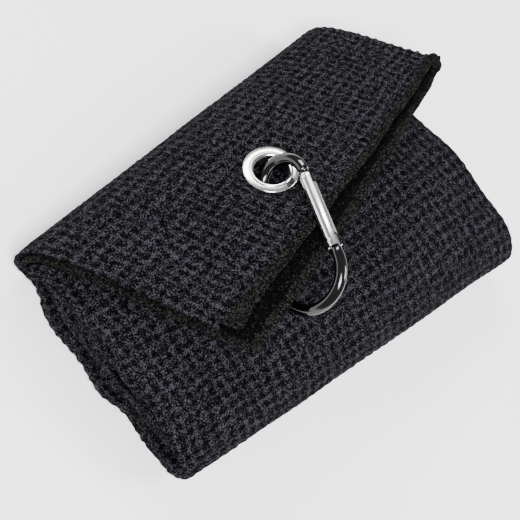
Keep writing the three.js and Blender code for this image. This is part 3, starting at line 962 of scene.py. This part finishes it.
def metal_material(name, colour, roughness, metallic, gloss=0.5, brushed=0.0):
    """Polished or painted metal with faint wear, smudges and a fine grain."""
    material, tree, bsdf = shader(name)
    link = tree.links.new
    place = tree.nodes.new("ShaderNodeTexCoord")
    smudge = add(tree, "ShaderNodeTexNoise", Scale=SMUDGE_SCALE, Detail=3.0)
    grain = add(tree, "ShaderNodeTexNoise", Scale=GRAIN_SCALE, Detail=2.0)
    for n in (smudge, grain):
        link(place.outputs["Object"], n.inputs["Vector"])
    rough = tree.nodes.new("ShaderNodeMapRange")
    rough.inputs["To Min"].default_value = max(0.02, roughness - SMUDGE_SHINE)
    rough.inputs["To Max"].default_value = roughness + SMUDGE_DULL
    link(smudge.outputs["Fac"], rough.inputs["Value"])
    link(rough.outputs["Result"], bsdf.inputs["Roughness"])
    dark = tuple(c * SMUDGE_SHADE for c in colour)
    ramp = colours(tree, [(0.3, dark), (0.7, colour)])
    link(smudge.outputs["Fac"], ramp.inputs["Fac"])
    link(ramp.outputs["Color"], bsdf.inputs["Base Color"])
    bsdf.inputs["Metallic"].default_value = metallic
    bsdf.inputs["Specular IOR Level"].default_value = gloss
    bump = add(tree, "ShaderNodeBump", Strength=0.12 + brushed, Distance=GRAIN_BUMP)
    link(grain.outputs["Fac"], bump.inputs["Height"])
    link(bump.outputs["Normal"], bsdf.inputs["Normal"])
    return material


terry = cloth_material(
    "terry", (0.0003, 0.0003, 0.0004), (0.0026, 0.0024, 0.0033), (0.042, 0.040, 0.051)
)
thread = cloth_material(
    "thread", (0.0003, 0.0003, 0.0003), (0.0022, 0.0022, 0.0021), (0.024, 0.024, 0.0222)
)
nickel = metal_material("nickel", (0.80, 0.79, 0.76), 0.16, 1.0)
gloss_black = metal_material("gloss_black", (0.0012, 0.0012, 0.0014), 0.07, 0.0, gloss=0.55)
bright = metal_material("bright", (0.86, 0.86, 0.87), 0.17, 1.0, brushed=0.1)
drawn = metal_material("drawn", (0.52, 0.53, 0.54), 0.32, 1.0, brushed=0.2)


def dress(obj, material, body=None):
    obj.data.materials.clear()
    obj.data.materials.append(material)
    if body:
        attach(obj, body)
    return obj


# Build

rolled = dress(make_roll(), terry, "roll")
roll_edge = dress(roll_side_edging(), thread, "roll")
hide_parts("towel_roll")

flap = dress(make_flap(), terry)
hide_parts("flap_cloth")
back_fold = roll_point(np.array(0.5), np.array(0.0), np.array(0.0)) + ORIGIN
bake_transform(flap)

top_edge = dress(
    end_edging("top_edging", TOP_EDGING_IN, FLAP_WIDTH, 0, turn=EDGING_TURN),
    thread, "flap",
)
middle_edge = dress(
    end_edging("middle_edging", MIDDLE_EDGING_IN, FLAP_WIDTH - MIDDLE_SHORT, 1),
    thread, "flap",
)
bottom_edge = dress(
    end_edging(
        "bottom_edging", BOTTOM_IN - BOTTOM_EDGING_OUT, FLAP_WIDTH + BOTTOM_EDGING_RIGHT, 2
    ),
    thread, "flap",
)
side_edge = dress(side_edging(), thread, "flap")
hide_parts("top_end_hem")
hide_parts("middle_end_hem")
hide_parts("bottom_end_hem")
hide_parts("side_hem")

eyelet_ring, eyelet_back = make_eyelet()
dress(eyelet_ring, nickel, "flap")
dress(eyelet_back, nickel, "flap")
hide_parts("eyelet_flange")
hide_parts("eyelet_washer")

hook = dress(make_hook_wire(), gloss_black, "hook")
tang_end = RIVET_AT + TANG_PAST
tang = plate(
    "hook_tang",
    [(-TANG_BACK, -TANG_HALF), (tang_end, -TANG_HALF), (tang_end, TANG_HALF), (-TANG_BACK, TANG_HALF)],
    TANG,
)
catch_end, hooked_from, hooked_to = GATE_LENGTH + CATCH_IN, PIN_AT + HOOKED_FROM, PIN_AT + HOOKED_TO
catch = plate(
    "hook_catch",
    [
        (catch_end, CATCH_LOW), (catch_end, CATCH_HIGH), (hooked_from, CATCH_HIGH),
        (hooked_from, HOOKED_LEVEL), (hooked_to, HOOKED_LEVEL), (hooked_to, CATCH_LOW),
    ],
    TANG,
)
dress(tang, gloss_black, "hook")
dress(catch, gloss_black, "hook")
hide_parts("hook_body")
sleeve = dress(smooth_copy("gate_sleeve", "gate_tube"), bright, "gate")
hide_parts("gate_sleeve")
for name, material in (
    ("gate_rivet", bright), ("latch_pin", bright), ("gate_spring", drawn), ("spring_plunger", drawn),
):
    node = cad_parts[name]
    for place in node.material_slots:
        place.material = material

# Stage


def plain(name, colour, roughness):
    material, _, bsdf = shader(name)
    bsdf.inputs["Base Color"].default_value = (*colour, 1)
    bsdf.inputs["Roughness"].default_value = roughness
    return material


FLOOR = 3.0
AMBIENT = 0.42
LIT = (0, 0, 0.02)  # where the lamps point
floor_mesh = bpy.data.meshes.new("floor")
floor_mesh.from_pydata(
    [(-FLOOR, -FLOOR, 0), (FLOOR, -FLOOR, 0), (FLOOR, FLOOR, 0), (-FLOOR, FLOOR, 0)], [], [(0, 1, 2, 3)]
)
floor = bpy.data.objects.new("floor", floor_mesh)
bpy.context.scene.collection.objects.link(floor)
floor.data.materials.append(plain("pale_floor", (0.97, 0.97, 0.97), 0.9))

world = bpy.data.worlds.new("studio")
bpy.context.scene.world = world
world.use_nodes = True
world.node_tree.nodes["Background"].inputs["Color"].default_value = (1, 1, 1, 1)
world.node_tree.nodes["Background"].inputs["Strength"].default_value = AMBIENT


def softbox(name, location, target, size, watts):
    data = bpy.data.lights.new(name, "AREA")
    data.shape = "RECTANGLE"
    data.size, data.size_y = size
    data.energy = watts
    lamp = bpy.data.objects.new(name, data)
    bpy.context.scene.collection.objects.link(lamp)
    lamp.location = location
    lamp.rotation_mode = "QUATERNION"
    lamp.rotation_quaternion = (Vector(target) - Vector(location)).to_track_quat("-Z", "Y")
    return lamp


softbox("key", (-0.45, -0.15, 0.8), LIT, (0.45, 0.3), 21)
softbox("fill", (0.65, -0.55, 0.55), LIT, (0.4, 0.4), 12)
softbox("rim", (0.25, 0.75, 0.55), LIT, (0.7, 0.25), 11)

# Camera: from above the towel's left end
SCREEN_RIGHT = Vector((0.677, -0.563, 0.474)).normalized()
BACK = Vector((-0.564, 0.017, 0.826))
BACK = (BACK - SCREEN_RIGHT * BACK.dot(SCREEN_RIGHT)).normalized()
SCREEN_UP = BACK.cross(SCREEN_RIGHT)
DISTANCE = 0.545
FRAME_SHIFT = (0.000586, 0.001465)
AIM_HEIGHT = 14.58
LENS, SENSOR = 128.8, 36
AIM = Vector((ORIGIN[0], ORIGIN[1], AIM_HEIGHT)) * MM
camera_data = bpy.data.cameras.new("camera")
camera = bpy.data.objects.new("camera", camera_data)
bpy.context.scene.collection.objects.link(camera)
camera_data.lens = LENS
camera_data.sensor_width = SENSOR
camera_place = AIM - SCREEN_RIGHT * FRAME_SHIFT[0] - SCREEN_UP * FRAME_SHIFT[1] + BACK * DISTANCE
camera.matrix_world = frame_of(camera_place, SCREEN_RIGHT, SCREEN_UP, BACK)
bpy.context.scene.camera = camera
